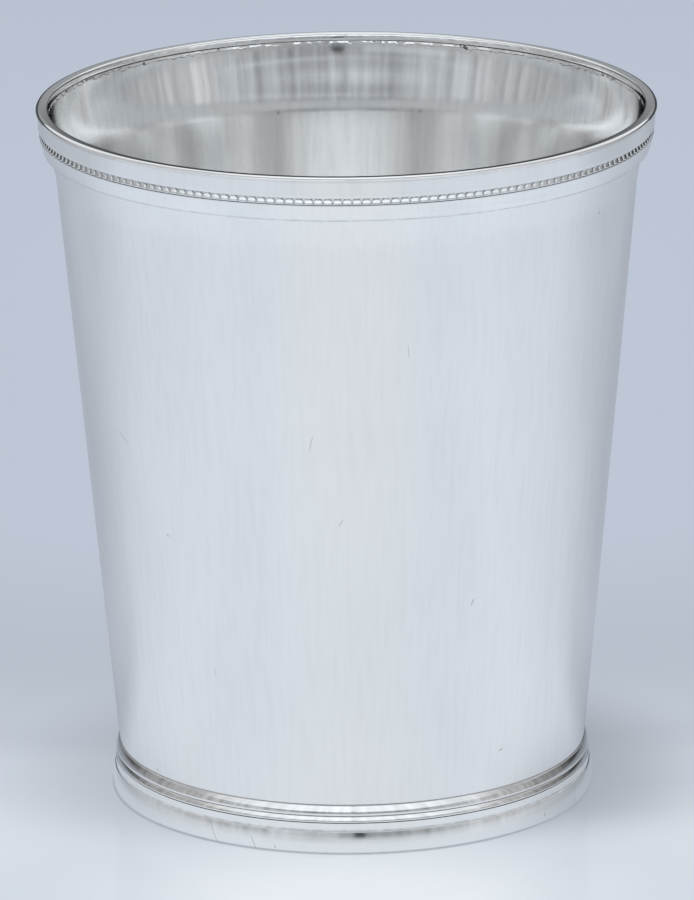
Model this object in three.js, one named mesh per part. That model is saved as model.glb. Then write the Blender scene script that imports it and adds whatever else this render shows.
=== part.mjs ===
// A silver julep cup: a tapered wall of sheet with a floor soldered into it, a rim built up
// from a lip wire, a plain collar, a beaded wire and a lower band, and a foot built up from
// a plain band and two reeds.
//
// Millimetres, +Z up. The origin is the middle of the ring that the cup stands on.
// Everything is turned about the Z axis, so outlines are lists of [radius, height].
// Rings are soldered to the wall, and each joint is drawn as one thin solder gap.

import * as THREE from 'three';

// The cup as a whole
const CUP_HEIGHT = 94.4;
const MOUTH_DIAMETER = 82.55;
const WALL_FOOT_DIAMETER = 61.86;

// Every soldered joint
const SOLDER_GAP = 0.05;

// The wall: a straight taper that opens out under the rim
const WALL_THICKNESS = 0.8;
const WALL_LIFT = 0.4;
const FLARE_HEIGHT = 9.5;
const FLARE_SPREAD = 0.95;

// The floor: a disc soldered inside the wall, clear of the table
const FLOOR_LIFT = 2.4;
const FLOOR_THICKNESS = 0.9;
const FLOOR_DISH = 0.35;

// The lip wire: it caps the mouth, with a leg that stands on the top edge of the wall
const LIP_CROWN = 0.38;
const LIP_LEG = 1.05;
const LIP_OVERHANG = 0.2;

// The collar: the plain band under the lip
const COLLAR_HEIGHT = 2.42;
const COLLAR_THICKNESS = 0.6;
const COLLAR_LEAN = 0.08;
const COLLAR_EDGE = 0.1;

// The beaded wire: half-round beads in a row on a flat strip
const BEAD_DIAMETER = 1.1;
const BEAD_PITCH = 1.258;
const BEAD_STRIP_THICKNESS = 0.14;

// The lower band of the rim
const RIM_BAND_HEIGHT = 1.95;
const RIM_BAND_THICKNESS = 0.8;
const RIM_BAND_EDGE = 0.3;

// The foot band: a low belly with a narrow ledge above it
const FOOT_BAND_HEIGHT = 3.05;
const FOOT_BAND_THICKNESS = 1.4;
const FOOT_BAND_BELLY = 0.04;
const FOOT_BAND_EDGE = 0.14;
const FOOT_LEDGE_HEIGHT = 1.06;
const FOOT_LEDGE_SET_BACK = 0.1;
const FOOT_LEDGE_LEAN = 0.14;

// The reeds: two half-round wires above the foot band
const LOWER_REED_HEIGHT = 0.88;
const LOWER_REED_STAND = 0.74;
const UPPER_REED_HEIGHT = 1.44;
const UPPER_REED_STAND = 0.46;

// How finely the round shapes are cut into facets
const TURN_FACETS = 72;
const FLARE_STEPS = 6;
const CROWN_STEPS = 6;
const REED_STEPS = 5;
const BELLY_STEPS = 4;
const BEAD_STEPS = 3;
const BEAD_ROW_SHARES = [-1, -0.6, 0, 0.6, 1];

// The crown of the lip is flatter than a half round: this is the power of its curve
const CROWN_POWER = 2.6;

// Colours of the polished and the satin silver
const SILVER_COLOUR = 0xdfe3e6;
const SATIN_SILVER_COLOUR = 0xd7dbdf;
const POLISHED_ROUGHNESS = 0.12;
const SATIN_ROUGHNESS = 0.3;

// Heights of the rim, stacked from the crest of the lip down
const collarTop = CUP_HEIGHT - LIP_CROWN - SOLDER_GAP;
const collarBottom = collarTop - COLLAR_HEIGHT;
const beadTop = collarBottom - SOLDER_GAP;
const beadBottom = beadTop - BEAD_DIAMETER;
const rimBandTop = beadBottom - SOLDER_GAP;
const rimBandBottom = rimBandTop - RIM_BAND_HEIGHT;
const lipLegBottom = CUP_HEIGHT - LIP_LEG;
const wallTop = lipLegBottom - SOLDER_GAP;

// Heights of the foot, stacked from the table up
const ledgeTop = FOOT_BAND_HEIGHT + FOOT_LEDGE_HEIGHT;
const lowerReedBottom = ledgeTop + SOLDER_GAP;
const upperReedBottom = lowerReedBottom + LOWER_REED_HEIGHT + SOLDER_GAP;

// Radii at the mouth, from the outside of the lip inwards
const lipRadius = MOUTH_DIAMETER / 2;
const collarRadius = lipRadius - LIP_OVERHANG;
const mouthWallRadius = collarRadius - COLLAR_THICKNESS - SOLDER_GAP;
const mouthInnerRadius = mouthWallRadius - WALL_THICKNESS;

/** Points at even steps of a share that runs from 0 to 1, both ends included. */
function evenSteps(count, pointAt) {
  return Array.from({ length: count + 1 }, (_, step) => pointAt(step / count));
}

// The wall's outside, from its lower edge to its top edge
const wallFootRadius = WALL_FOOT_DIAMETER / 2;
const flareBottom = wallTop - FLARE_HEIGHT;
const taper = (mouthWallRadius - FLARE_SPREAD - wallFootRadius) / (wallTop - WALL_LIFT);
const wallOutside = [
  [wallFootRadius, WALL_LIFT],
  ...evenSteps(FLARE_STEPS, (share) => {
    const height = flareBottom + FLARE_HEIGHT * share;
    const spread = FLARE_SPREAD * THREE.MathUtils.smoothstep(share, 0, 1);
    return [wallFootRadius + taper * (height - WALL_LIFT) + spread, height];
  }),
];

/** Radius of the wall's outside at a height, measured on its facets. */
function wallRadius(height) {
  const last = wallOutside.length - 1;
  const above = wallOutside.findIndex((point) => point[1] > height);
  const upper = above === -1 ? last : Math.max(above, 1);
  const [lowRadius, lowHeight] = wallOutside[upper - 1];
  const [highRadius, highHeight] = wallOutside[upper];
  return THREE.MathUtils.mapLinear(height, lowHeight, highHeight, lowRadius, highRadius);
}

/** The back of a ring that is soldered round the wall, from its top down to its bottom. */
function backOnWall(bottom, top) {
  const between = wallOutside.filter(([, height]) => height > bottom && height < top);
  const heights = [top, ...between.map(([, height]) => height).reverse(), bottom];
  return heights.map((height) => [wallRadius(height) + SOLDER_GAP, height]);
}

/** A solid turned about the Z axis. The outline runs up its outside and down its inside. */
function turned(outline) {
  const points = outline.map(([radius, height]) => new THREE.Vector2(radius, height));
  const onAxis = points[0].x === 0;
  if (!onAxis) points.push(points[0].clone());
  return new THREE.LatheGeometry(points, TURN_FACETS).rotateX(Math.PI / 2);
}

/** The tapered wall: one thickness of sheet, measured level. */
function wallGeometry() {
  const inside = wallOutside.map(([radius, height]) => [radius - WALL_THICKNESS, height]);
  return turned([...wallOutside, ...inside.reverse()]);
}

/** The floor: a disc whose edge follows the taper of the wall, dished a little on top. */
function floorGeometry() {
  const edgeRadius = (height) => wallRadius(height) - WALL_THICKNESS - SOLDER_GAP;
  const top = FLOOR_LIFT + FLOOR_THICKNESS;
  const dishRadius = edgeRadius(FLOOR_LIFT) - FLOOR_THICKNESS;
  return turned([
    [0, FLOOR_LIFT],
    [edgeRadius(FLOOR_LIFT), FLOOR_LIFT],
    [edgeRadius(top), top],
    [dishRadius, top],
    [0, top - FLOOR_DISH],
  ]);
}

/** The lip wire: a low crown over the mouth, and a leg down to the top edge of the wall. */
function lipGeometry() {
  const halfWidth = (lipRadius - mouthInnerRadius) / 2;
  const middle = lipRadius - halfWidth;
  const crownBase = CUP_HEIGHT - LIP_CROWN;
  const crown = evenSteps(CROWN_STEPS, (share) => {
    const across = Math.cos(Math.PI * share);
    const up = Math.sin(Math.PI * share);
    const power = 2 / CROWN_POWER;
    const radius = middle + halfWidth * Math.sign(across) * Math.abs(across) ** power;
    return [radius, crownBase + LIP_CROWN * Math.abs(up) ** power];
  });
  return turned([
    ...crown,
    [mouthInnerRadius, lipLegBottom],
    [mouthWallRadius, lipLegBottom],
    [mouthWallRadius, crownBase],
  ]);
}

/** The collar: a plain band that leans in a little towards the beads. */
function collarGeometry() {
  const lowRadius = collarRadius - COLLAR_LEAN;
  return turned([
    [lowRadius - COLLAR_EDGE, collarBottom],
    [lowRadius, collarBottom + COLLAR_EDGE],
    [collarRadius, collarTop - COLLAR_EDGE],
    [collarRadius - COLLAR_EDGE, collarTop],
    [mouthWallRadius + SOLDER_GAP, collarTop],
    ...backOnWall(collarBottom, wallTop),
  ]);
}

/** The lower band: it follows the flare of the wall, with its lower edge rounded under. */
function rimBandGeometry() {
  const back = backOnWall(rimBandBottom, rimBandTop);
  const face = back.map(([radius, height]) => [radius + RIM_BAND_THICKNESS, height]).reverse();
  const [lowRadius] = face[0];
  const corner = RIM_BAND_EDGE * (1 - Math.SQRT1_2);
  return turned([
    [lowRadius - RIM_BAND_EDGE, rimBandBottom],
    [lowRadius - corner, rimBandBottom + corner],
    [lowRadius, rimBandBottom + RIM_BAND_EDGE],
    ...face.slice(1),
    ...back,
  ]);
}

/** The beaded wire: a strip round the wall whose face swells into a row of round beads. */
function beadGeometry() {
  const beadRadius = BEAD_DIAMETER / 2;
  const backRadius = wallRadius(beadTop) + SOLDER_GAP;
  const stripRadius = backRadius + BEAD_STRIP_THICKNESS;
  const girth = 2 * Math.PI * (stripRadius + beadRadius);
  const beadCount = Math.round(girth / BEAD_PITCH);
  const stations = beadCount * BEAD_STEPS;
  const middle = beadBottom + beadRadius;

  // One cross-section of the wire, at a share of the way from one gap to the next
  const section = (share) => {
    const along = (share - 1 / 2) * (girth / beadCount);
    const face = BEAD_ROW_SHARES.map((rowShare) => {
      const aside = rowShare * beadRadius;
      const swell = Math.sqrt(Math.max(0, beadRadius ** 2 - along ** 2 - aside ** 2));
      return [stripRadius + swell, middle + aside];
    });
    return [...face, [backRadius, beadTop], [backRadius, beadBottom]];
  };

  const positions = [];
  const indices = [];
  const rows = section(0).length;
  for (let station = 0; station < stations; station += 1) {
    const angle = (2 * Math.PI * station) / stations;
    const next = (station + 1) % stations;
    section((station % BEAD_STEPS) / BEAD_STEPS).forEach(([radius, height], row) => {
      positions.push(radius * Math.cos(angle), radius * Math.sin(angle), height);
      const here = station * rows + row;
      const above = station * rows + ((row + 1) % rows);
      const beside = next * rows + row;
      const aboveBeside = next * rows + ((row + 1) % rows);
      indices.push(here, beside, aboveBeside, here, aboveBeside, above);
    });
  }
  const geometry = new THREE.BufferGeometry();
  geometry.setAttribute('position', new THREE.Float32BufferAttribute(positions, 3));
  geometry.setIndex(indices);
  geometry.computeVertexNormals();
  return geometry;
}

/** A reed: a half-round wire round the wall. */
function reedGeometry(bottom, height, stand) {
  const middle = bottom + height / 2;
  const face = evenSteps(REED_STEPS, (share) => {
    const angle = Math.PI * (share - 1 / 2);
    const level = middle + (height / 2) * Math.sin(angle);
    return [wallRadius(level) + SOLDER_GAP + stand * Math.cos(angle), level];
  });
  return turned(face);
}

/** The foot band: a belly between two soft edges, and the narrow ledge under the reeds. */
function footBandGeometry() {
  const backRadius = wallRadius(WALL_LIFT) + SOLDER_GAP;
  const faceRadius = backRadius + FOOT_BAND_THICKNESS;
  const bellyBottom = FOOT_BAND_EDGE;
  const bellyHeight = FOOT_BAND_HEIGHT - 2 * FOOT_BAND_EDGE;
  const belly = evenSteps(BELLY_STEPS, (share) => {
    const swell = FOOT_BAND_BELLY * Math.sin(Math.PI * share);
    return [faceRadius + swell, bellyBottom + bellyHeight * share];
  });
  const ledgeRadius = faceRadius - FOOT_LEDGE_SET_BACK;
  return turned([
    [faceRadius - FOOT_BAND_EDGE, 0],
    ...belly,
    [ledgeRadius, FOOT_BAND_HEIGHT],
    [ledgeRadius - FOOT_LEDGE_LEAN, ledgeTop],
    ...backOnWall(WALL_LIFT, ledgeTop),
    [backRadius, 0],
  ]);
}

const satin = { color: SATIN_SILVER_COLOUR, metalness: 1, roughness: SATIN_ROUGHNESS };
const polished = { color: SILVER_COLOUR, metalness: 1, roughness: POLISHED_ROUGHNESS };

/** A named piece in its own material. */
function piece(name, geometry, finish) {
  const mesh = new THREE.Mesh(geometry, new THREE.MeshStandardMaterial(finish));
  mesh.name = name;
  return mesh;
}

// The vessel: what holds the drink
const vessel = new THREE.Group();
vessel.add(piece('cup_wall', wallGeometry(), satin));
vessel.add(piece('cup_floor', floorGeometry(), satin));

// The rim, from the lip down
const rim = new THREE.Group();
rim.add(piece('lip_wire', lipGeometry(), polished));
rim.add(piece('rim_collar', collarGeometry(), satin));
rim.add(piece('bead_wire', beadGeometry(), polished));
rim.add(piece('rim_band', rimBandGeometry(), satin));

// The foot, from the reeds down
const upperReed = reedGeometry(upperReedBottom, UPPER_REED_HEIGHT, UPPER_REED_STAND);
const lowerReed = reedGeometry(lowerReedBottom, LOWER_REED_HEIGHT, LOWER_REED_STAND);
const foot = new THREE.Group();
foot.add(piece('upper_reed', upperReed, polished));
foot.add(piece('lower_reed', lowerReed, polished));
foot.add(piece('foot_band', footBandGeometry(), satin));

const julepCup = new THREE.Group();
julepCup.name = 'julep_cup';
julepCup.add(vessel, rim, foot);

export default julepCup;
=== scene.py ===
"""A silver julep cup: a tapered vessel with a beaded rim and a reeded foot.

Metres, +Z up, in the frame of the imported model. Sizes in the classes below are written in
millimetres, as a silversmith would, and turned into metres where a mesh is made. What fits
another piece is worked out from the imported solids.
"""

import logging
import math
from dataclasses import dataclass, field, replace
from enum import Enum
from functools import partial, reduce

import bpy
from mathutils import Matrix, Vector, noise


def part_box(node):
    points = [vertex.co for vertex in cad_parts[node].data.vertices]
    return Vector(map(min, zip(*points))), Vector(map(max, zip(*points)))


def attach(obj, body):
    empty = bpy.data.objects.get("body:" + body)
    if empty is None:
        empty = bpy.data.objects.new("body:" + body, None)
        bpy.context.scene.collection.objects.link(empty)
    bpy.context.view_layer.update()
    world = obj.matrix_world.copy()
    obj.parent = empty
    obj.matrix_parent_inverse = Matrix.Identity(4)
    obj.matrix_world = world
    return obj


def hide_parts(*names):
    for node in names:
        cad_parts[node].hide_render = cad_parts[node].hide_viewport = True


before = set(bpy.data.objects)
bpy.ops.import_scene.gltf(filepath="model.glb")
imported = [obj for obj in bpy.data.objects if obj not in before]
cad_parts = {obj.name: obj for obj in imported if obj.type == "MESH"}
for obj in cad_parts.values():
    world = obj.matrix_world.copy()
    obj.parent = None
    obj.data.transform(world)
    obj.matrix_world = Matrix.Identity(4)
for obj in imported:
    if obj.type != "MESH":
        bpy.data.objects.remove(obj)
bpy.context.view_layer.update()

logging.basicConfig(level=logging.INFO, format="%(message)s")
log = logging.getLogger("julep_cup")

MM = 0.001
TURN = 2 * math.pi
BODY = "root"
JOINT_TARNISH_AND_SHADE = "joint_tarnish_and_shade"
INNER = "inner"

Piece = bpy.types.Object
Socket = bpy.types.NodeSocket
Colour = tuple[float, float, float]
Pair = tuple[float, float]
Section = list[Pair]

# Where something starts and ends, and its value at each if they aren't 0 and 1
Fade = tuple[float, ...]
# A value, and the grey or colour there
Stops = tuple[tuple[float, float | Colour], ...]


class Grain(Enum):
    """Which way the polishing lines run on a surface."""

    ROUND = "round the cup"
    NONE = "no direction"


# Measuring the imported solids


def ring_radii(node: str, height: float | None = None) -> Pair:
    """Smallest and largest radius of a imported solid, in millimetres.

    Args:
        node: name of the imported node.
        height: if given, only the corners at that height count, in millimetres.

    Returns:
        The inner and the outer radius.
    """
    near = 0.01
    radii = [
        math.hypot(vertex.co.x, vertex.co.y) / MM
        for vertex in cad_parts[node].data.vertices
        if height is None or abs(vertex.co.z / MM - height) < near
    ]
    return min(radii), max(radii)


def levels(node: str) -> Pair:
    """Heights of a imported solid's bottom and top above the table, in millimetres."""
    low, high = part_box(node)
    return low.z / MM, high.z / MM


# Outlines


def arc(centre: Pair, half: float | Pair, start: float, stop: float, steps: int) -> Section:
    """Points along part of a circle or an ellipse, both ends included.

    Args:
        centre: radius and height of its centre.
        half: its radius, or its half width and half height.
        start: first angle in degrees, 0 pointing outwards and 90 up.
        stop: last angle in degrees.
        steps: number of steps between the two.

    Returns:
        The points.
    """
    wide, high = half if isinstance(half, tuple) else (half, half)
    angles = [math.radians(start + (stop - start) * step / steps) for step in range(steps + 1)]
    return [(centre[0] + wide * math.cos(angle), centre[1] + high * math.sin(angle)) for angle in angles]


def straight(first: Pair, last: Pair, steps: int) -> Section:
    """Points on a straight line between two ends, without the ends."""
    return [
        (first[0] + (last[0] - first[0]) * step / steps, first[1] + (last[1] - first[1]) * step / steps)
        for step in range(1, steps)
    ]


# Modelling


def choose(*pieces: Piece) -> None:
    """Leaves edit mode and selects some pieces and nothing else.

    Args:
        pieces: the pieces, the last of which becomes the active one.
    """
    if bpy.context.mode != "OBJECT":
        bpy.ops.object.mode_set(mode="OBJECT")
    bpy.ops.object.select_all(action="DESELECT")
    for piece in pieces:
        piece.select_set(True)
        bpy.context.view_layer.objects.active = piece


def turned(name: str, section: Section, segments: int, disc: bool = False) -> Piece:
    """A turned piece: a circle, extruded and resized along a section.

    Args:
        name: name of the piece.
        section: radius and height of each corner of the section, in millimetres.
        segments: number of steps round the cup.
        disc: whether the two ends are filled; if not, the section's end is joined to its start.

    Returns:
        The piece, smooth except at its sharp edges.
    """
    choose()
    radius, height = section[0]
    bpy.ops.mesh.primitive_circle_add(
        vertices=segments, radius=radius * MM, location=(0, 0, height * MM),
        fill_type="NGON" if disc else "NOTHING",
    )
    piece = bpy.context.object
    piece.name = name
    bpy.ops.object.transform_apply(location=True, rotation=True, scale=True)
    bpy.ops.object.mode_set(mode="EDIT")
    bpy.ops.mesh.select_mode(type="EDGE")
    bpy.ops.mesh.select_all(action="SELECT")
    for next_radius, next_height in section[1:]:
        rise = (next_height - height) * MM
        bpy.ops.mesh.extrude_edges_move(TRANSFORM_OT_translate={"value": (0, 0, rise)})
        growth = next_radius / radius
        centre = (0, 0, next_height * MM)
        bpy.ops.transform.resize(value=(growth, growth, 1), center_override=centre)
        radius, height = next_radius, next_height
    if disc:
        bpy.ops.mesh.edge_face_add()
    else:
        bpy.ops.mesh.select_all(action="DESELECT")
        bpy.ops.mesh.select_non_manifold(
            extend=False, use_wire=False, use_multi_face=False, use_non_contiguous=False,
            use_verts=False,
        )
        bpy.ops.mesh.bridge_edge_loops()
    bpy.ops.mesh.select_all(action="SELECT")
    bpy.ops.mesh.normals_make_consistent(inside=False)
    bpy.ops.object.mode_set(mode="OBJECT")
    smooth(piece)
    return piece


def smooth(piece: Piece, degrees: float = 40) -> None:
    """Shades a piece smooth, with its edges sharper than an angle left crisp.

    Args:
        piece: the piece.
        degrees: the angle.
    """
    choose(piece)
    bpy.ops.object.shade_smooth_by_angle(angle=math.radians(degrees))


def mark_tarnish_and_shade(piece: Piece, joints: list[float], reach: float) -> None:
    """Marks where tarnishing and painted shade lie: near the joints of a piece, and less with distance.

    Args:
        piece: the piece.
        joints: heights of its joints, in millimetres.
        reach: how far the tarnishing and painted shade spread from a joint, in millimetres.
    """
    marks = piece.data.attributes.new(JOINT_TARNISH_AND_SHADE, "FLOAT", "POINT")
    for vertex in piece.data.vertices:
        gap = min(abs(vertex.co.z / MM - joint) for joint in joints)
        marks.data[vertex.index].value = math.exp(-((gap / reach) ** 2))


def place(piece: Piece, slot: str, finish: "Finish", *nodes: str) -> None:
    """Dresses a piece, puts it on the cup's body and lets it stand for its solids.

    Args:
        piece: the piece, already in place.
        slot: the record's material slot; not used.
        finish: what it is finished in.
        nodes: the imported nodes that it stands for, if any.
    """
    piece.data.materials.clear()
    piece.data.materials.append(finish.material())
    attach(piece, BODY)
    if nodes:
        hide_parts(*nodes)
    log.info("%s: %d faces, %s", piece.name, len(piece.data.polygons), finish.name)


# Finishes


class Nodes:
    """A node tree that is written from left to right."""

    def __init__(self, tree: bpy.types.NodeTree) -> None:
        """Empties the tree, to write it anew."""
        self.tree = tree
        tree.nodes.clear()

    def add(self, kind: str, inputs: dict | None = None, **settings: object) -> bpy.types.Node:
        """Adds a node.

        Args:
            kind: the node's type, without the words that all of them start with.
            inputs: what each input gets: a value, or an output to link.
            settings: the node's own settings.

        Returns:
            The node.
        """
        node = self.tree.nodes.new("ShaderNode" + kind)
        for key, value in settings.items():
            setattr(node, key, value)
        for key, value in (inputs or {}).items():
            if isinstance(value, Socket):
                self.tree.links.new(value, node.inputs[key])
            else:
                node.inputs[key].default_value = value
        return node

    def math(self, operation: str, *values: object) -> Socket:
        """Adds a Math node on some numbers and returns its output."""
        return self.add("Math", dict(enumerate(values)), operation=operation).outputs[0]

    def product(self, *values: object) -> Socket:
        """Multiplies all the numbers."""
        return reduce(partial(self.math, "MULTIPLY"), values)

    def largest(self, *values: object) -> Socket:
        """Picks the largest of the numbers."""
        return reduce(partial(self.math, "MAXIMUM"), values)

    def vector(self, operation: str, *values: object) -> Socket:
        """Adds a Vector Math node on some vectors and returns the vector that it makes."""
        return self.add("VectorMath", dict(enumerate(values)), operation=operation).outputs[0]

    def scaled(self, colour: object, share: object) -> Socket:
        """Multiplies a colour by a number."""
        inputs = {0: colour, "Scale": share}
        return self.add("VectorMath", inputs, operation="SCALE").outputs[0]

    def length(self, vector: object) -> Socket:
        """Measures a vector."""
        return self.add("VectorMath", {0: vector}, operation="LENGTH").outputs["Value"]

    def parts(self, vector: object) -> list[Socket]:
        """Splits a vector into its three parts."""
        return list(self.add("SeparateXYZ", {0: vector}).outputs)

    def joined(self, *values: object) -> Socket:
        """Makes a vector of up to three numbers."""
        return self.add("CombineXYZ", dict(enumerate(values))).outputs[0]

    def read(self, name: str) -> Socket:
        """Reads a number that is marked on the corners of a piece."""
        return self.add("Attribute", attribute_name=name).outputs["Fac"]

    def ramp(self, value: object, low: float, high: float, to_low: float = 0.0,
             to_high: float = 1.0) -> Socket:
        """Maps a value smoothly from one range, low to high, to another."""
        inputs = {"Value": value, "From Min": low, "From Max": high, "To Min": to_low, "To Max": to_high}
        return self.add("MapRange", inputs, interpolation_type="SMOOTHSTEP").outputs["Result"]

    def between(self, value: object, *fades: Fade) -> Socket:
        """Multiplies the ramps of one value, such as where something starts and where it ends."""
        return self.product(*(self.ramp(value, *fade) for fade in fades))

    def beside(self, value: object, middle: float, fade: Fade) -> Socket:
        """Maps how far a value is from a middle one."""
        return self.ramp(self.math("ABSOLUTE", self.math("SUBTRACT", value, middle)), *fade)

    def spot(self, place_at: object, centre: Pair, size: Pair) -> Socket:
        """Measures how far a place is from a spot's centre, 1 being the spot's own half size."""
        local = self.vector("SUBTRACT", place_at, (*centre, 0))
        return self.length(self.vector("MULTIPLY", local, (1 / size[0], 1 / size[1], 0)))

    def mixed(self, share: object, first: bpy.types.Node, second: bpy.types.Node) -> bpy.types.Node:
        """Mixes two shaders, all of the first at share 0 and all of the second at share 1."""
        return self.add("MixShader", {0: share, 1: first.outputs[0], 2: second.outputs[0]})

    def lerp(self, share: object, first: object, second: object) -> Socket:
        """Mixes two numbers, all of the first at share 0 and all of the second at share 1."""
        return self.add("Mix", {"Factor": share, "A": first, "B": second}).outputs["Result"]

    def steps(self, value: object, stops: Stops) -> Socket:
        """Runs smoothly through a row of greys or colours.

        Args:
            value: the output to follow.
            stops: the row, from its lowest value to its highest.

        Returns:
            The colour.
        """
        low, high = stops[0][0], stops[-1][0]
        share = self.add("MapRange", {"Value": value, "From Min": low, "From Max": high})
        node = self.add("ValToRGB", {"Fac": share.outputs["Result"]})
        ramp = node.color_ramp
        ramp.interpolation = "EASE"
        ends = {low: 0, high: -1}
        for where, tone in stops:
            if where in ends:
                stop = ramp.elements[ends[where]]
            else:
                stop = ramp.elements.new((where - low) / (high - low))
            stop.color = (*tone, 1) if isinstance(tone, tuple) else (tone, tone, tone, 1)
        return node.outputs["Color"]

    def noise(self, place_at: object, scale: tuple[float, float, float], detail: float) -> Socket:
        """Adds a noise around one half, stretched along the axes, with some finer layers."""
        inputs = {"Vector": self.vector("MULTIPLY", place_at, scale), "Scale": 1.0, "Detail": detail}
        return self.add("TexNoise", inputs).outputs["Fac"]

    def blend(self, share: object, first: object, second: object) -> Socket:
        """Mixes two colours, all of the first at share 0 and all of the second at share 1."""
        first, second = ((*tone, 1) if isinstance(tone, tuple) else tone for tone in (first, second))
        # A Mix node has its colours in sockets 6 and 7, and their mixture in output 2
        return self.add("Mix", {0: share, 6: first, 7: second}, data_type="RGBA").outputs[2]


# Patterns on the silver: waves to the millimetre along each axis, and finer layers
PATCHES = ((0.9, 0.9, 0.7), 4)
PITS = ((0.6, 0.6, 0.9), 3)
STREAKS = ((1.5, 1.5, 0.012), 3)
TONE_RINGS = ((0.02, 0.02, 1.6), 3)
LINES = ((0.03, 0.03, 1.3), 2)
RINGS = ((0.015, 0.015, 0.45), 2)
WAVES = ((0.2, 0.2, 0.012), 3)
CLOUDS = ((0.07, 0.07, 0.05), 5)

# Where each starts and ends to show
PATCH_FADE = (0.35, 0.62, 0.35, 1.0)
PIT_FADE = (0.64, 0.7)
STREAK_FADE = (0.4, 0.7)
RING_FADE = (0.4, 0.65)
CLOUD_FADE = (0.3, 0.7)

# Scattered strokes: the size of the cell that each lies in, half its length and half its width
SCATTERED = ((9.0, 1.4, 0.05), (13.0, 3.0, 0.045), (7.0, 0.3, 0.08))
# The radius that the wall is unrolled at, and how much a stroke bends
GIRTH = 35.0
BEND = 0.03
# Polishing lines run round the cup, so the shine spreads upright
QUARTER_TURN = 0.25


@dataclass(frozen=True)
class Mark:
    """A hairline or a small ding, sized in millimetres.

    Its turn is in degrees from the front, and its slant in degrees from level.
    """

    turn: float
    height: float
    length: float
    slant: float = 90.0
    width: float = 0.05


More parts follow.
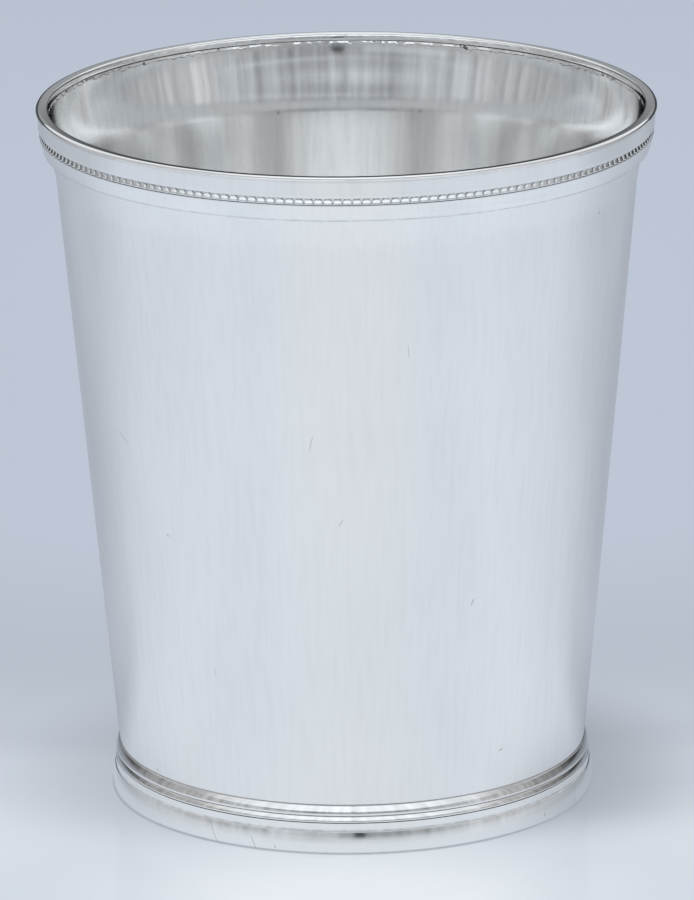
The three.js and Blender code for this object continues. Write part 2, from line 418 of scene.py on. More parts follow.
@dataclass(frozen=True)
class Finish:
    """Silver, worked and worn in one way.

    Depths of relief are in millimetres. Shares run from 0 to 1.
    """

    name: str
    colour: Colour = (0.925, 0.928, 0.927)
    tarnish_and_shade_colour: Colour = (0.10, 0.095, 0.09)
    roughness: float = 0.25
    inside_roughness: float = 0.1
    roughness_spread: float = 0.02
    anisotropy: float = 0.8
    grain: Grain = Grain.ROUND
    line_depth: float = 0.0004
    inside_line_depth: float = 0.0014
    inside_streak_depth: float = 0.0022
    ring_depth: float = 0.0
    wave_depth: float = 0.004
    streak_share: float = 0.028
    inside_streak_share: float = 0.05
    ring_share: float = 0.003
    scratch_share: float = 0.03
    scratch_depth: float = 0.0009
    scratch_tone: float = 0.3
    tarnish_and_shade_share: float = 0.6
    tarnish_and_shade_roughness: float = 0.3
    pits_share: float = 0.0
    marks: tuple[Mark, ...] = ()

    def material(self) -> bpy.types.Material:
        """The finish as a material, made once.

        Returns:
            The material.
        """
        made = bpy.data.materials.get(self.name)
        if made is None:
            made = bpy.data.materials.new(self.name)
            made.use_nodes = True
            self.write(Nodes(made.node_tree))
        return made

    def write(self, nodes: Nodes) -> None:
        """Writes the finish's nodes.

        Args:
            nodes: the empty tree.
        """
        metres = nodes.add("TexCoord").outputs["Object"]
        here = nodes.scaled(metres, 1 / MM)
        across, along, up = nodes.parts(here)
        travel = nodes.math("ADD", nodes.length(nodes.joined(across, along)), up)
        turned_here = nodes.joined(across, along, travel)

        # Tarnish and painted shade gather in the joints, creases and gaps, in patches
        patchy = nodes.ramp(nodes.noise(here, *PATCHES), *PATCH_FADE)
        tarnish_and_painted_shade = nodes.product(nodes.read(JOINT_TARNISH_AND_SHADE), patchy, self.tarnish_and_shade_share)
        if self.pits_share:
            pits = nodes.ramp(nodes.noise(here, *PITS), *PIT_FADE, 0.0, self.pits_share)
            tarnish_and_painted_shade = nodes.largest(tarnish_and_painted_shade, pits)
        around = nodes.product(nodes.math("ARCTAN2", across, nodes.product(along, -1.0)), GIRTH)
        scratches = self.scratches(nodes, nodes.joined(around, up))
        marked = nodes.product(scratches, self.scratch_tone)

        # Upright streaks and level rings, a shade darker than the rest
        inner = nodes.read(INNER)
        upright = nodes.noise(here, *STREAKS)
        streaks_share = nodes.lerp(inner, self.streak_share, self.inside_streak_share)
        streaks = nodes.product(nodes.ramp(upright, *STREAK_FADE), streaks_share)
        rings_tone = nodes.ramp(nodes.noise(turned_here, *TONE_RINGS), *RING_FADE)
        streaks = nodes.math("MULTIPLY_ADD", rings_tone, self.ring_share, streaks)
        colour = nodes.blend(nodes.largest(tarnish_and_painted_shade, marked, streaks), self.colour, self.tarnish_and_shade_colour)

        # Slow waves from the hammer, fine lines from polishing, and broader rings from turning
        relief = nodes.product(nodes.noise(here, *WAVES), self.wave_depth)
        if self.grain is Grain.ROUND:
            line_depth = nodes.lerp(inner, self.line_depth, self.inside_line_depth)
            streak_depth = nodes.product(inner, self.inside_streak_depth)
            for pattern, depth in (
                (nodes.noise(turned_here, *LINES), line_depth),
                (upright, streak_depth),
                (nodes.noise(turned_here, *RINGS), self.ring_depth),
            ):
                relief = nodes.math("MULTIPLY_ADD", pattern, depth, relief)
        relief = nodes.math("MULTIPLY_ADD", scratches, -self.scratch_depth, relief)
        bump = nodes.add("Bump", {"Height": relief, "Distance": MM, "Strength": 1.0})

        # Handling leaves the shine cloudy
        cloud = nodes.noise(here, *CLOUDS)
        roughness = nodes.lerp(inner, self.roughness, self.inside_roughness)
        spread = nodes.ramp(cloud, *CLOUD_FADE, -self.roughness_spread, self.roughness_spread)
        roughness = nodes.math("ADD", roughness, spread)
        roughness = nodes.math("MULTIPLY_ADD", tarnish_and_painted_shade, self.tarnish_and_shade_roughness, roughness)
        inputs = {
            "Base Color": colour,
            "Metallic": 1.0,
            "Roughness": roughness,
            "Normal": bump.outputs[0],
        }
        if self.grain is Grain.ROUND:
            inputs["Anisotropic"] = self.anisotropy
            inputs["Anisotropic Rotation"] = QUARTER_TURN
            tangent = nodes.add("Tangent", direction_type="RADIAL", axis="Z")
            inputs["Tangent"] = tangent.outputs[0]
        shader = nodes.add("BsdfPrincipled", inputs)
        nodes.add("OutputMaterial", {"Surface": shader.outputs[0]})

    def scratches(self, nodes: Nodes, sheet: object) -> Socket:
        """The finish's own marks, and hairlines scattered in cells, each a slightly bent stroke.

        Args:
            nodes: the tree.
            sheet: place on the unrolled surface, in millimetres.

        Returns:
            The scratches, 1 along each line.
        """
        lines = []
        for mark in self.marks:
            centre = (math.radians(mark.turn) * GIRTH, mark.height, 0)
            local = nodes.vector("SUBTRACT", sheet, centre)
            slant = -math.radians(mark.slant)
            lines.append(self.stroke(nodes, local, slant, mark.length / 2, mark.width))
        for cell, reach, width in SCATTERED:
            cells = nodes.add(
                "TexVoronoi", {"Vector": sheet, "Scale": 1 / cell}, voronoi_dimensions="2D"
            ).outputs
            local = nodes.vector("SUBTRACT", sheet, cells["Position"])
            chance = nodes.add("SeparateColor", {0: cells["Color"]}).outputs
            line = self.stroke(nodes, local, nodes.product(chance[0], math.pi), reach, width)
            lines.append(nodes.product(line, nodes.math("LESS_THAN", chance[1], self.scratch_share)))
        return nodes.largest(*lines)

    def stroke(self, nodes: Nodes, local: object, turn: object, reach: float, width: float) -> Socket:
        """One slightly bent stroke that fades towards its ends.

        Args:
            nodes: the tree.
            local: place on the unrolled surface, from the stroke's middle, in millimetres.
            turn: how far the stroke is turned, in radians.
            reach: half its length.
            width: half its width.

        Returns:
            The stroke, 1 along its line.
        """
        laid = nodes.add(
            "VectorRotate", {"Vector": local, "Angle": turn}, rotation_type="Z_AXIS"
        ).outputs[0]
        away, off = nodes.parts(laid)[:2]
        bent = nodes.math("MULTIPLY_ADD", nodes.math("POWER", away, 2.0), BEND, off)
        line = nodes.ramp(nodes.math("ABSOLUTE", bent), width, 2 * width, 1.0, 0.0)
        within = nodes.ramp(nodes.math("ABSOLUTE", away), reach / 2, reach, 1.0, 0.0)
        return nodes.product(line, within)


DINGS = (
    Mark(turn=-70, height=88.0, length=1.6, slant=80),
    Mark(turn=-8, height=57.5, length=2.6, slant=75, width=0.04),
    Mark(turn=-2, height=46.5, length=1.5, slant=60, width=0.04),
    Mark(turn=28, height=34.0, length=1.2, slant=65, width=0.08),
    Mark(turn=38, height=12.0, length=0.9, slant=20, width=0.09),
    Mark(turn=-33, height=24.0, length=1.8, slant=100, width=0.03),
    Mark(turn=12, height=70.0, length=2.2, slant=95, width=0.03),
)
SATIN = Finish("satin_wall", marks=DINGS)
SPUN = Finish("spun_floor", roughness=0.3, ring_depth=0.004, ring_share=0.06)
COLLAR = Finish("soft_polished_rim", roughness=0.22, wave_depth=0.001, tarnish_and_shade_share=0.4,
                ring_share=0.02, scratch_share=0.0)
WORN = Finish("worn_foot", roughness=0.1, roughness_spread=0.03, anisotropy=0.4, wave_depth=0.002,
              scratch_share=0.2, streak_share=0.01, tarnish_and_shade_share=0.4)

# Small parts have neither scratches nor streaks
CLEAN = replace(SATIN, scratch_share=0.0, streak_share=0.0, ring_share=0.0, marks=())
BRIGHT = replace(CLEAN, name="bright_wire", roughness=0.07, roughness_spread=0.015, anisotropy=0.3,
                 wave_depth=0.001, line_depth=0.0003, ring_share=0.08, tarnish_and_shade_share=0.15)
LIP = replace(CLEAN, name="bright_lip", roughness=0.05, roughness_spread=0.01, anisotropy=0.2,
              wave_depth=0.001, line_depth=0.0001, tarnish_and_shade_share=0.3)
BEADED = replace(CLEAN, name="bead_silver", roughness=0.08, grain=Grain.NONE, wave_depth=0.0,
                 tarnish_and_shade_share=1.0)
SOLDER = replace(CLEAN, name="hard_solder", roughness=0.14, grain=Grain.NONE, wave_depth=0.0,
                 tarnish_and_shade_share=0.4, pits_share=0.9)


# The vessel


@dataclass
class Vessel:
    """The tapered wall and the floor that is soldered into it. Sizes are in millimetres."""

    segments: int = 256
    flare_height: float = 9.5
    flare_spread: float = 0.95
    edge: float = 0.12
    floor_dish: float = 0.35
    lift: float = field(init=False)
    top: float = field(init=False)
    foot_radius: float = field(init=False)
    mouth_radius: float = field(init=False)
    thickness: float = field(init=False)

    def __post_init__(self) -> None:
        """Takes the wall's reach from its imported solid."""
        self.lift, self.top = levels("cup_wall")
        inner, self.foot_radius = ring_radii("cup_wall", self.lift)
        self.mouth_radius = ring_radii("cup_wall", self.top)[1]
        self.thickness = self.foot_radius - inner

    def outside(self, height: float) -> float:
        """Radius of the wall's outside at a height.

        Args:
            height: the height above the table.

        Returns:
            The radius.
        """
        taper = (self.mouth_radius - self.flare_spread - self.foot_radius) / (self.top - self.lift)
        share = (height - self.top + self.flare_height) / self.flare_height
        share = min(max(share, 0.0), 1.0)
        spread = self.flare_spread * share * share * (3 - 2 * share)
        return self.foot_radius + taper * (height - self.lift) + spread

    def inside(self, height: float) -> float:
        """Radius of the wall's inside at a height."""
        return self.outside(height) - self.thickness

    def wall(self) -> None:
        """Turns the wall, and marks its inner side, which is finished in another way."""
        flare = self.top - self.flare_height
        steps_up, steps_out = 30, 14
        low = self.lift + self.edge
        heights = [low + (flare - low) * step / steps_up for step in range(steps_up)]
        heights += [flare + self.flare_height * step / steps_out for step in range(steps_out + 1)]
        outer = [(self.outside(height), height) for height in heights]
        inner = [(self.inside(height), height) for height in reversed(heights)]
        bottom = [
            (self.inside(self.lift) + self.edge, self.lift),
            (self.outside(self.lift) - self.edge, self.lift),
        ]
        piece = turned("cup_wall_sheet", outer + inner + bottom, self.segments)
        marks = piece.data.attributes.new(INNER, "FLOAT", "POINT")
        for vertex in piece.data.vertices:
            middle = self.outside(vertex.co.z / MM) - self.thickness / 2
            marks.data[vertex.index].value = float(math.hypot(vertex.co.x, vertex.co.y) / MM < middle)
        self.unevenness(piece)
        place(piece, "wall_silver", SATIN, "cup_wall")

    def unevenness(self, piece: Piece) -> None:
        """Gives the wall the slight unevenness of a hand-worked sheet.

        Args:
            piece: the wall.
        """
        depth, wave, upright = 0.03 * MM, 24 * MM, 0.35
        for vertex in piece.data.vertices:
            level = vertex.co.copy()
            level.z *= upright
            out = Vector((vertex.co.x, vertex.co.y, 0)).normalized()
            vertex.co += out * depth * noise.noise(level / wave)

    def floor(self) -> None:
        """Turns the floor: a dished disc with a fillet of solder round it."""
        low, high = levels("cup_floor")
        rim = ring_radii("cup_floor", high)[1]
        fillet, middle = 0.7, 0.5
        section = [(middle, low), (rim - self.edge, low), (rim, low + self.edge), (rim, high + fillet)]
        section += arc((rim - fillet, high + fillet), fillet, 0, -90, steps=6)[1:]
        across = 16
        for step in range(1, across + 1):
            radius = (rim - fillet) + (middle - rim + fillet) * step / across
            dish = self.floor_dish * (1 - (radius / (rim - fillet)) ** 2)
            section.append((radius, high - dish))
        piece = turned("cup_floor_disc", section, self.segments // 2, disc=True)
        mark_tarnish_and_shade(piece, [high + fillet], reach=0.6)
        place(piece, "floor_silver", SPUN, "cup_floor")

    def build(self) -> None:
        """Makes the wall and the floor."""
        self.wall()
        self.floor()


# The rim


@dataclass
class Rim:
    """The lip wire, the collar, the beaded wire and the lower band.

    Sizes are in millimetres, but the lip's start and fall are in degrees.
    """

    vessel: Vessel
    segments: int = 256
    crown: float = 0.38
    lip_edge: float = 0.04
    lip_face: float = 0.02
    lip_face_lean: float = 0.04
    lip_shoulder: float = 0.44
    lip_start: float = 2
    lip_inner_round: float = 0.22
    lip_fall: float = 3.5
    edge: float = 0.1
    collar_edge: float = 0.07
    collar_under: float = 0.22
    collar_lean: float = 0.08
    band_edge: float = 0.3
    band_brow: float = 0.04
    band_rise: float = 0.3
    bead_pitch: float = 1.258
    bead_gap: float = 0.04
    bead_squareness: float = 3.0
    bead_fullness: float = 0.18
    bead_crest: float = -0.85
    bead_lean: float = 0.53
    bead_taper: float = 0.17
    bead_taper_from: float = -0.2
    strip: float = 0.14
    strip_foot: float = 0.3
    strip_edge: float = 0.05
    strip_tarnish_and_shade_reach: float = 1.7
    solder: float = 0.05

    def lip(self) -> None:
        """Turns the lip wire."""
        low, high = levels("lip_wire")
        inner, outer = ring_radii("lip_wire")
        leg = ring_radii("lip_wire", low)[1]
        base = high - self.crown
        edge, curl = self.lip_edge, self.lip_inner_round
        start = low + self.edge
        face_top = base + edge + self.lip_face
        brow = outer - self.lip_face_lean
        section = arc((outer - edge, base + edge), edge, -90, 0, steps=4)
        shoulder = (self.lip_shoulder, high - face_top)
        section += arc((brow - self.lip_shoulder, face_top), shoulder, self.lip_start, 90, steps=18)
        top_outer = brow - self.lip_shoulder
        fall = (top_outer - inner - curl) * math.tan(math.radians(self.lip_fall))
        section += straight((top_outer, high), (inner + curl, high - fall), steps=4)
        section += arc((inner + curl, start), (curl, high - fall - start), 90, 180, steps=14)
        section += [(inner + self.edge / 2, low), (leg, low), (leg, base)]
        piece = turned("lip_wire_crown", section, self.segments)
        mark_tarnish_and_shade(piece, [low], reach=0.2)
        place(piece, "lip_silver", LIP, "lip_wire")

    def back(self, low: float, high: float, steps: int = 5) -> Section:
        """Points down the back of a ring that lies against the wall, both ends included."""
        heights = [high + (low - high) * step / steps for step in range(steps + 1)]
        return [(self.vessel.outside(min(h, self.vessel.top)) + self.solder, h) for h in heights]

    def collar(self) -> None:
        """Turns the plain collar under the lip."""
        low, high = levels("rim_collar")
        outer = ring_radii("rim_collar")[1]
        foot = outer - self.collar_lean
        under, brow = self.collar_under, self.collar_edge
        section = arc((foot - under, low + under), under, -90, 0, steps=7)
        section += straight((foot, low + under), (outer, high - brow), steps=6)
        section += arc((outer - brow, high - brow), brow, 0, 90, steps=5)
        section += self.back(low, high)
        piece = turned("rim_collar_band", section, self.segments)
        # Tarnish, and painted shade in the groove under the collar's lower edge, above the beads
        mark_tarnish_and_shade(piece, [low], reach=0.12)
        place(piece, "rim_silver", COLLAR, "rim_collar")

    def band(self) -> None:
        """Turns the lower band, whose lower edge is rounded under."""
        low, high = levels("rim_band")
        depth = ring_radii("rim_band", high)[1] - self.vessel.outside(high) - self.solder
        high += self.band_rise
        back = self.back(low, high, steps=8)
        edge = self.band_edge
        foot = back[-1][0] + depth
        section = arc((foot - edge, low + edge), edge, -90, 0, steps=6)
        section += [(r + depth, h) for r, h in reversed(back) if low + edge < h < high - self.band_brow]
        top, brow = back[0][0] + depth, self.band_brow
        section += arc((top - brow, high - brow), brow, 0, 90, steps=3)
        section += back
        piece = turned("rim_lower_band", section, self.segments)
        # Tarnish, and a painted shadow line along the lower edge, where it turns under onto the wall
        mark_tarnish_and_shade(piece, [low], reach=0.2)
        place(piece, "rim_silver", COLLAR, "rim_band")

    def beads(self) -> None:
        """Makes the beaded wire: one half-round bead, copied round a strip and joined to it."""
        low, high = levels("bead_wire")
        low += self.band_rise
        radius = (high - low) / 2
        middle = low + radius
        inner = ring_radii("bead_wire")[0]
        face = inner + self.strip
        swell = face + self.strip_foot
        section = [(swell, low), (swell, low + self.strip_edge), (face, low + self.strip_foot)]
        section += [(face, high), (inner, high), (inner, low)]
        strip = turned("bead_wire_row", section, self.segments)
        # Tarnish, and painted shade on the strip, which shows dark in the gaps between the beads
        mark_tarnish_and_shade(strip, [high], reach=self.strip_tarnish_and_shade_reach * radius)

        proud = ring_radii("bead_wire")[1] - face
        girth = TURN * (face + proud)
        count = round(girth / self.bead_pitch)
        bead = self.bead(face, middle, radius, proud, girth / count - self.bead_gap)
        copies = []
        for place_in_row in range(count):
            copy = bead.copy()
            copy.data = bead.data.copy()
            bpy.context.scene.collection.objects.link(copy)
            copy.data.transform(Matrix.Rotation(TURN * place_in_row / count, 4, "Z"))
            copies.append(copy)
        bpy.data.objects.remove(bead)
        choose(*copies, strip)
        bpy.ops.object.join()
        place(strip, "bead_silver", BEADED, "bead_wire")

    def bead(self, face: float, middle: float, radius: float, proud: float, length: float) -> Piece:
        """Makes one squared bead that leans back from a low crest, darkened at its two ends by tarnishing
        and painted shade in the gaps.

        Args:
            face: radius of the strip that it stands on.
            middle: height of its centre.
            radius: half its height.
            proud: how far it stands out.
            length: its length along the row.

        Returns:
            The bead, at the front of the X axis.
        """
        choose()
        sunk, power = 0.02, self.bead_squareness
        # Its tarnishing and painted shade in the gaps: how sharply it gathers at the ends, how high it
        # starts, and how deep it lies
        gather, start, least, depth = 3, 0.7, 0.1, 0.5
        bpy.ops.mesh.primitive_uv_sphere_add(
            segments=14, ring_count=12, radius=1, rotation=(0, math.radians(90), 0)
        )
        bead = bpy.context.object
        bead.name = "bead"
        bpy.ops.object.transform_apply(location=True, rotation=True, scale=True)
        bpy.ops.object.mode_set(mode="EDIT")
        bpy.ops.mesh.select_all(action="SELECT")
        bpy.ops.mesh.bisect(
            plane_co=(-sunk / radius, 0, 0), plane_no=(1, 0, 0), use_fill=True, clear_inner=True
        )
        bpy.ops.object.mode_set(mode="OBJECT")
        marks = bead.data.attributes.new(JOINT_TARNISH_AND_SHADE, "FLOAT", "POINT")
        for vertex in bead.data.vertices:
            out, aside, rise = vertex.co
            around = math.hypot(aside, rise)
            if around > 0:
                corner = (abs(aside / around) ** power + abs(rise / around) ** power) ** (1 / power)
                aside, rise = aside / corner, rise / corner
            narrowing = 1 - self.bead_taper * max(rise - self.bead_taper_from, 0)
            back = self.bead_lean * max(rise - self.bead_crest, 0) / (1 - self.bead_crest)
            fullness = max(out, 0) ** self.bead_fullness * (1 - back) if out > 0 else out
            vertex.co = (
                (face + fullness * proud) * MM,
                aside * narrowing * length / 2 * MM,
                (middle + rise * radius) * MM,
            )
            shade = abs(aside) ** gather * min(max(start + rise, least), 1)
            marks.data[vertex.index].value = shade * math.exp(-((max(out, 0) / depth) ** 2))
        smooth(bead, degrees=60)
        return bead

    def seam(self) -> None:
        """Lays the ragged ridge of solder between the lip wire and the inside of the wall."""
        top = levels("lip_wire")[0]
        face = ring_radii("lip_wire")[0]
        hang, proud, sunk, under = 0.3, 0.08, 0.1, 0.06
        foot = top - hang
        section = [(face + sunk, top), (face, top)]
        section += straight((face, top), (face - proud, foot + under), steps=5)
        section += arc((face, foot + under), (proud, under), 180, 270, steps=4)
        section.append((face + sunk, foot))
        piece = turned("lip_solder", section, 3 * self.segments)
        # Two noises, one finer, make its edge hang and its face swell
        wave, finer, fine_share, elsewhere = 1.0 * MM, 3, 0.6, Vector((0, 0, 7))
        ragged, hanging, highest = 0.38, 0.2, -0.3
        swelling, flattest = 0.05, -1
        for vertex in piece.data.vertices:
            out = Vector((vertex.co.x, vertex.co.y, 0))
            drop = noise.noise(out / wave) + fine_share * noise.noise(out / (wave / finer))
            below = (top - vertex.co.z / MM) / (top - foot)
            vertex.co.z -= ragged * MM * below * max(drop + hanging, highest)
            swell = noise.noise(out / wave + elsewhere) + noise.noise(vertex.co / (wave / finer))
            vertex.co -= out.normalized() * swelling * MM * below * max(swell, flattest)
        place(piece, "lip_silver", SOLDER)

    def build(self) -> None:
        """Makes the four rings of the rim, and their solder."""
        self.lip()
        self.collar()
        self.beads()
        self.band()
        self.seam()


# The foot


@dataclass(frozen=True)
class ReedShape:
    """A reed's section: a nearly flat slope above a low, rounded nose.

    Sizes are in millimetres. The slope's two angles, low and high, are in degrees.
    """

    nose: float
    crest_share: float
    slope: Pair
    cap: float
    proud: float = 0.0


@dataclass
class Foot:
    """The two reeds and the foot band. Sizes are in millimetres."""

    vessel: Vessel
    segments: int = 256
    solder: float = 0.05
    belly_height: float = 1.1
    belly_swell: float = 0.04
    lean: float = 0.2
    edge: float = 0.14
    shoulder: float = 3.05
    ledge_set_back: float = 0.23
    ledge_lean: float = 0.02
    ledge_brow: float = 0.03
    ledge_rise: float = 0.03
    upper: ReedShape = ReedShape(nose=0.25, crest_share=0.22, slope=(13.5, 27), cap=0.1, proud=0.1)
    lower: ReedShape = ReedShape(nose=0.22, crest_share=0.24, slope=(15, 28), cap=0.08)

    def reed(self, node: str, shape: ReedShape) -> None:
        """Turns a reed: a flat slope above a low crest, and rounded under.

        Args:
            node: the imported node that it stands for.
            shape: its section.
        """
        low, high = levels(node)
        foot = self.vessel.outside(low) + self.solder
        head = self.vessel.outside(high) + self.solder
        nose, cap = shape.nose, shape.cap
        crest = low + shape.crest_share * (high - low)
        core = ring_radii(node)[1] + shape.proud - nose
        section = arc((core, crest), (nose, crest - low), -90, 0, steps=7)[:-1]
        section += arc((core, crest), nose, 0, shape.slope[0], steps=4)
        start_radius, start_height = section[-1]
        first, last = (math.radians(angle) for angle in shape.slope)
        rise = high - cap + cap * math.sin(last) - start_height
        bow = rise / (math.sin(last) - math.sin(first))
        centre = (start_radius - bow * math.cos(first), start_height - bow * math.sin(first))
        section += arc(centre, bow, *shape.slope, steps=10)[1:]
        cap_centre = (section[-1][0] - cap * math.cos(last), high - cap)
        section += arc(cap_centre, cap, shape.slope[1], 90, steps=5)[1:]
        section += [(head, high)] + straight((head, high), (foot, low), steps=3) + [(foot, low)]
        piece = turned(node + "_wire", section, self.segments)
        # Tarnish, and a painted shade line along the top, where the reed meets the piece above
        mark_tarnish_and_shade(piece, [high], reach=0.05)
        place(piece, "reed_silver", BRIGHT, node)

    def band(self) -> None:
        """Turns the foot band: a low belly, and a narrow ledge above it."""
        low, high = levels("foot_band")
        high += self.ledge_rise
        back, face = ring_radii("foot_band", low)
        shoulder, edge = self.shoulder, self.edge
        face += edge
        section = arc((face - edge, low + edge), edge, -90, 0, steps=5)
        bottom, top = low + edge, shoulder - edge
        belly = 18
        for step in range(1, belly + 1):
            height = bottom + (top - bottom) * step / belly
            below = (height - self.belly_height) / (self.belly_height - bottom)
            above = (height - self.belly_height) / (top - self.belly_height)
            swell = self.belly_swell * (1 - below * below) if below < 0 else self.belly_swell
            section.append((face + swell - self.lean * max(above, 0) ** 2, height))
        brow = face + self.belly_swell - self.lean
        section += arc((brow - edge, top), edge, 15, 75, steps=3)
        ledge, start = face - self.ledge_set_back - edge / 3, shoulder + edge / 2
        high_ledge, brow = ledge - self.ledge_lean, self.ledge_brow
        section += [(ledge, shoulder), (ledge, start)]
        section += straight((ledge, start), (high_ledge, high - brow), steps=4)
        section += [(high_ledge, high - brow), (high_ledge - brow, high)]
        section += [(self.vessel.outside(high) + self.solder, high), (back, self.vessel.lift), (back, low)]
        piece = turned("foot_band_ring", section, self.segments)
        # Tarnish, and painted shade along the edge on the table and in the crease under the ledge
        mark_tarnish_and_shade(piece, [low, start], reach=0.08)
        place(piece, "foot_silver", WORN, "foot_band")

    def build(self) -> None:
        """Makes the reeds and the foot band."""
        self.reed("upper_reed", self.upper)
        self.reed("lower_reed", self.lower)
        self.band()


# The studio


@dataclass
class Camera:
    """The photograph's view, from the ellipses of the cup's mouth and foot.

    Lengths are in metres, the lens and the sensor in millimetres, and angles in degrees.
    """

    distance: float = 1.085818
    height: float = 0.3597715
    swing: float = 0.018038
    tilt: float = 16.1037
    roll: float = -0.5379
    lens: float = 336.286
    sensor: float = 36
    nearest: float = 0.05
    farthest: float = 20

    def build(self) -> None:
        """Sets the camera at the photograph's angle."""
        data = bpy.data.cameras.new("camera")
        data.lens, data.sensor_width = self.lens, self.sensor
        data.clip_start, data.clip_end = self.nearest, self.farthest
        camera = bpy.data.objects.new("camera", data)
        swing = Matrix.Rotation(math.radians(self.swing), 4, "Z")
        look = Matrix.Rotation(math.radians(90 - self.tilt), 4, "X")
        roll = Matrix.Rotation(math.radians(self.roll), 4, "Z")
        camera.matrix_world = Matrix.Translation((0, -self.distance, self.height)) @ swing @ look @ roll
        bpy.context.scene.collection.objects.link(camera)
        bpy.context.scene.camera = camera


@dataclass
class Table:
    """The pale, slightly glossy table, which is lighter towards the camera.

    Lengths are in metres, from the cup's middle: X to the right, Y away from the camera.
    """

    size: float = 6.0
    tones: Stops = (
        (-0.3, (0.93, 0.965, 1.0)), (-0.12, (0.89, 0.94, 1.0)), (-0.05, (0.815, 0.88, 0.96)),
        (-0.02, (0.87, 0.93, 1.0)), (0.004, (0.79, 0.855, 0.95)), (0.02, (0.66, 0.72, 0.815)),
        (0.05, (0.6, 0.66, 0.765)), (0.12, (0.66, 0.725, 0.86)), (0.3, (0.68, 0.75, 0.89)),
    )
    tones_width: float = 0.09
    tones_power: float = 4.0
    glow: Colour = (0.9, 0.95, 1.0)
    glow_centre: Pair = (0, -0.05)
    glow_size: Pair = (0.038, 0.03)
    glow_fade: Fade = (0.2, 1.2, 0.9, 0.0)
    shade: Colour = (0.2, 0.22, 0.26)
    near_fade: Fade = (0.031, 0.056, 0.3, 0.0)
    rear_fade: Fade = (-0.032, -0.012, 0.1, 1.0)
    right_fade: Fade = (-0.02, 0.035, 1.0, 1.8)
    contact_fade: Fade = (0.0324, 0.0331, 0.5, 0.0)
    behind_fade: Fade = (0.0, 0.03)
    shadow_fade: Fade = (0.05, 0.1, 0.3, 0.0)
    far_fade: Fade = (0.35, 0.9, 0.0, 0.95)
    rear_grey: Fade = (-0.02, 0.13, 0.0, 0.24)
    evenness: float = 0.6
    glow_evenness: float = 0.4
    mirrored_evenness: float = 0.8
    roughness: float = 0.12
    ior: float = 1.4

    def build(self) -> None:
        """Lays the table. It is no part of the cup."""
        choose()
        bpy.ops.mesh.primitive_plane_add(size=self.size)
        table = bpy.context.object
        table.name = "table"
        material = bpy.data.materials.new("table_top")
        material.use_nodes = True
        self.write(Nodes(material.node_tree))
        table.data.materials.append(material)

    def write(self, nodes: Nodes) -> None:
        """Writes the table's nodes. From underneath it can be seen through, so that the foot shows.

        Args:
            nodes: the empty tree.
        """
        here = nodes.add("TexCoord").outputs["Object"]
        right, behind, _ = nodes.parts(here)
        aside = nodes.math("DIVIDE", nodes.math("ABSOLUTE", right), self.tones_width)
        aside = nodes.math("POWER", aside, self.tones_power)
        colour = nodes.steps(nodes.math("DIVIDE", behind, nodes.math("ADD", aside, 1.0)), self.tones)

        # The cup throws light in front of it, and its foot shades the table round it
        glow = nodes.ramp(nodes.spot(here, self.glow_centre, self.glow_size), *self.glow_fade)
        colour = nodes.blend(glow, colour, self.glow)
        radius = nodes.length(here)
        shade = nodes.product(
            nodes.ramp(radius, *self.near_fade),
            nodes.ramp(behind, *self.rear_fade),
            nodes.ramp(right, *self.right_fade),
        )
        contact = nodes.ramp(radius, *self.contact_fade)
        colour = nodes.blend(nodes.largest(shade, contact), colour, self.shade)

        # The silver sees the table darker behind the cup, most of all far away
        path = nodes.add("LightPath").outputs
        behind_cup = nodes.ramp(behind, *self.behind_fade)
        darker = nodes.largest(
            nodes.product(nodes.ramp(radius, *self.shadow_fade), behind_cup),
            nodes.product(nodes.ramp(radius, *self.far_fade), behind_cup),
            nodes.ramp(behind, *self.rear_grey),
        )
        dim = nodes.lerp(path["Is Glossy Ray"], 1.0, nodes.math("SUBTRACT", 1.0, darker))
        colour = nodes.scaled(colour, dim)

        # It is partly lit and partly gives its own even light, more of it where the cup's light falls
        paper = nodes.add("BsdfDiffuse", {"Color": colour})
        plain = nodes.add("Emission", {"Color": colour, "Strength": 1.0})
        seen = nodes.math("MULTIPLY_ADD", glow, self.glow_evenness, self.evenness)
        mirrored = nodes.product(path["Is Glossy Ray"], self.mirrored_evenness)
        evenly = nodes.math("MULTIPLY_ADD", path["Is Camera Ray"], seen, mirrored)
        gloss = nodes.add("BsdfGlossy", {"Color": (1, 1, 1, 1), "Roughness": self.roughness})
        sheen = nodes.add("Fresnel", {"IOR": self.ior})
        top = nodes.mixed(sheen.outputs[0], nodes.mixed(evenly, paper, plain), gloss)
        underneath = nodes.add("NewGeometry").outputs["Backfacing"]
        both = nodes.mixed(underneath, top, nodes.add("BsdfTransparent"))
        nodes.add("OutputMaterial", {"Surface": both.outputs[0]})


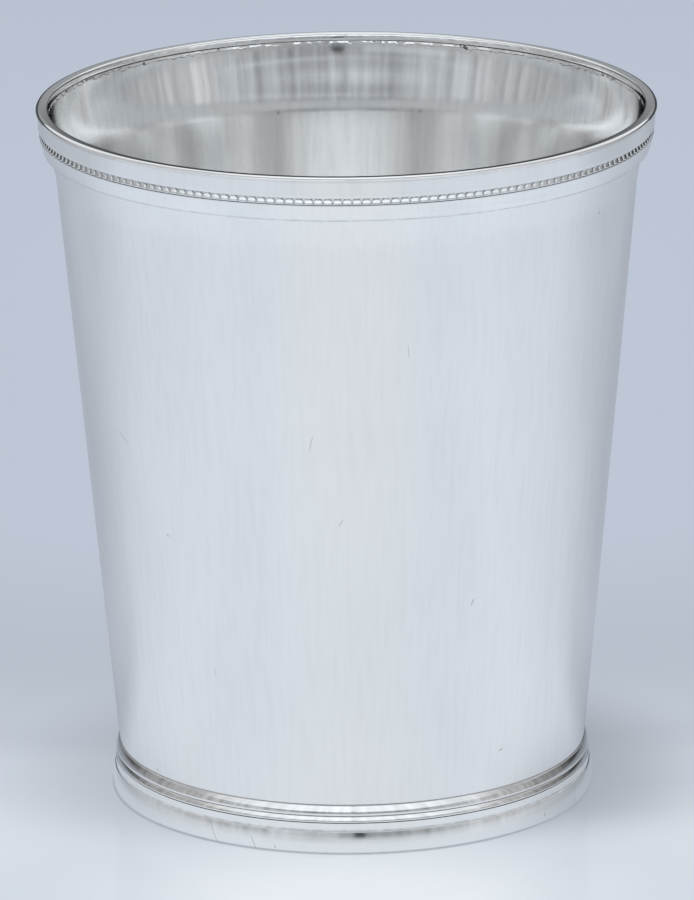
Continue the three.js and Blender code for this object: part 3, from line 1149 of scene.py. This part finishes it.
@dataclass
class Tent:
    """The soft white tent round the table, open and darker near the table's edge.

    Silver shows all of it: the two front panels and the gap between them, the dark room at
    the sides, and the backdrop's grey lower edge. Angles are in degrees: the turn from the
    front, to the right, and the rise above the table.
    """

    white: float = 1.15
    folds: tuple[tuple[float, float, float], float] = ((0.3, 0.008, 1), 4)
    room: Stops = (
        (-180, 0.04), (-158, 0.04), (-134, 0.08), (-112, 0.27), (-84, 0.38), (-50, 0.44),
        (-34, 0.38), (-18, 0.25), (0, 0.33), (18, 0.3), (37, 0.36), (58, 0.52), (81, 0.42),
        (108, 0.22), (134, 0.04), (158, 0.03), (180, 0.03),
    )
    room_folds: Fade = (0.35, 0.65, 0.75, 1.25)
    low_light: Colour = (0.9, 0.9, 0.9)
    low_light_turn: tuple[Fade, Fade] = ((-45, -36), (-3, -11))
    low_light_rise: Fade = (6.5, 4.5, 0.0, 0.35)
    edge_at: float = 9.0
    edge_fade: Fade = (0.9, 0.3)
    edge_turn: Fade = (60, 40, 0.0, 0.42)
    rear_turn: Fade = (150, 166)
    rear_grey: Fade = (8, 16, 0.05, 0.3)
    panel: Stops = (
        (0, 1.0), (35, 0.93), (62, 0.76), (84, 0.42), (105, 0.45), (126, 0.68), (150, 0.62),
        (168, 0.95), (180, 0.95),
    )
    panel_folds: Fade = (0.3, 0.7, 0.86, 1.1)
    roof: Colour = (1.0, 1.0, 1.0)
    roof_rise: Fade = (60, 76)
    opening: Colour = (0.4, 0.4, 0.4)
    opening_rise: tuple[Fade, Fade] = ((33, 38), (84, 77))
    opening_turn: Fade = (100, 70)
    front_sill: float = 13.2
    rear_sill: float = 18.5
    sill_fade: Fade = (0, 2.5)
    twice: Colour = (0.45, 0.46, 0.47)
    twice_rise: tuple[Fade, Fade] = ((12, 18), (48, 42))
    twice_depth: float = 3.0
    often_depth: Fade = (5, 7, 0.0, 0.55)
    gap: Colour = (0.05, 0.05, 0.05)
    gap_turn: Fade = (0.9, 0.3)
    gap_foot: Fade = (0, 2)
    gap_middle: float = 25.0
    gap_ends: Fade = (5, 8, 0.0, 0.5)
    gap_top: Fade = (50, 40)
    dark: Colour = (0.02, 0.02, 0.02)
    dark_centre: Pair = (3.3, 2.0)
    dark_size: Pair = (3.2, 4.5)
    dark_fade: Fade = (1.2, 0.6)
    side_turn: tuple[Fade, Fade] = ((45, 80), (160, 140))
    daylight: Colour = (0.91, 0.955, 1.0)
    side_light: Colour = (0.98, 0.985, 1.0)
    backdrop_low: Colour = (0.52, 0.57, 0.66)
    backdrop_high: Colour = (0.72, 0.76, 0.82)
    backdrop_rise: Fade = (0, 40)

    def build(self) -> None:
        """Puts up the tent."""
        world = bpy.data.worlds.new("tent")
        bpy.context.scene.world = world
        world.use_nodes = True
        self.write(Nodes(world.node_tree))

    def write(self, nodes: Nodes) -> None:
        """Writes the tent's nodes.

        Args:
            nodes: the empty tree.
        """
        right, behind, above = nodes.parts(nodes.add("TexCoord").outputs["Generated"])
        degrees = 180 / math.pi
        rise = nodes.product(nodes.math("ARCSINE", above), degrees)
        turn = nodes.product(nodes.math("ARCTAN2", right, nodes.product(behind, -1.0)), degrees)
        aside = nodes.math("ABSOLUTE", turn)
        spot = nodes.joined(turn, rise)
        folds = nodes.noise(spot, *self.folds)
        path = nodes.add("LightPath").outputs

        # The room under the tent, seen between the table and the panels
        room = nodes.scaled(nodes.steps(turn, self.room), nodes.ramp(folds, *self.room_folds))

        # Low light in front on the left, and a bright edge between the room and the panels
        low_light = nodes.product(
            nodes.between(turn, *self.low_light_turn), nodes.ramp(rise, *self.low_light_rise)
        )
        edge = nodes.product(
            nodes.beside(rise, self.edge_at, self.edge_fade), nodes.ramp(aside, *self.edge_turn)
        )
        room = nodes.blend(nodes.largest(low_light, edge), room, self.low_light)
        rear = nodes.ramp(aside, *self.rear_turn)
        room = nodes.blend(rear, room, nodes.ramp(rise, *self.rear_grey))

        # The panels and the roof. Above the camera the tent is open
        panel = nodes.scaled(nodes.steps(aside, self.panel), nodes.ramp(folds, *self.panel_folds))
        panel = nodes.blend(nodes.ramp(rise, *self.roof_rise), panel, self.roof)
        opening = nodes.product(
            nodes.between(rise, *self.opening_rise), nodes.ramp(aside, *self.opening_turn)
        )
        panel = nodes.blend(opening, panel, self.opening)
        over_sill = nodes.math("SUBTRACT", rise, nodes.lerp(rear, self.front_sill, self.rear_sill))
        tent = nodes.blend(nodes.ramp(over_sill, *self.sill_fade), room, panel)

        # Light that the inside of the cup passes on comes out dimmer: after two reflections,
        # when the ray depth is three, and again after five or more
        depth = path["Ray Depth"]
        exactly = nodes.math("COMPARE", depth, self.twice_depth, 0.5)
        twice = nodes.product(nodes.between(rise, *self.twice_rise), exactly)
        tent = nodes.blend(twice, tent, self.twice)
        tent = nodes.blend(nodes.ramp(depth, *self.often_depth), tent, self.dark)

        # The seam between the front panels, and the dark spot under it
        ends = nodes.beside(rise, self.gap_middle, self.gap_ends)
        seam = nodes.product(nodes.ramp(aside, *self.gap_turn), nodes.ramp(over_sill, *self.gap_foot))
        gap = nodes.product(seam, nodes.product(ends, nodes.ramp(rise, *self.gap_top)))
        tent = nodes.blend(gap, tent, self.gap)
        dark = nodes.ramp(nodes.spot(spot, self.dark_centre, self.dark_size), *self.dark_fade)
        tent = nodes.blend(dark, tent, self.dark)

        # Cool daylight in front and behind, and a more neutral light at the sides
        tint = nodes.blend(nodes.between(aside, *self.side_turn), self.daylight, self.side_light)
        tent = nodes.vector("MULTIPLY", tent, tint)

        # The camera sees a plain backdrop instead
        seen = path["Is Camera Ray"]
        backdrop = nodes.blend(
            nodes.ramp(rise, *self.backdrop_rise), self.backdrop_low, self.backdrop_high
        )
        shown = nodes.blend(seen, tent, backdrop)
        strength = nodes.lerp(seen, self.white, 1.0)
        sky = nodes.add("Background", {"Color": shown, "Strength": strength})
        nodes.add("OutputWorld", {"Surface": sky.outputs[0]})


def main() -> None:
    """Builds the studio, seen in a plain view, and the cup."""
    for part in (Camera(), Table(), Tent()):
        part.build()
    bpy.context.scene.view_settings.view_transform = "Standard"
    vessel = Vessel()
    for part in (vessel, Rim(vessel), Foot(vessel)):
        part.build()


if __name__ == "__main__":
    main()
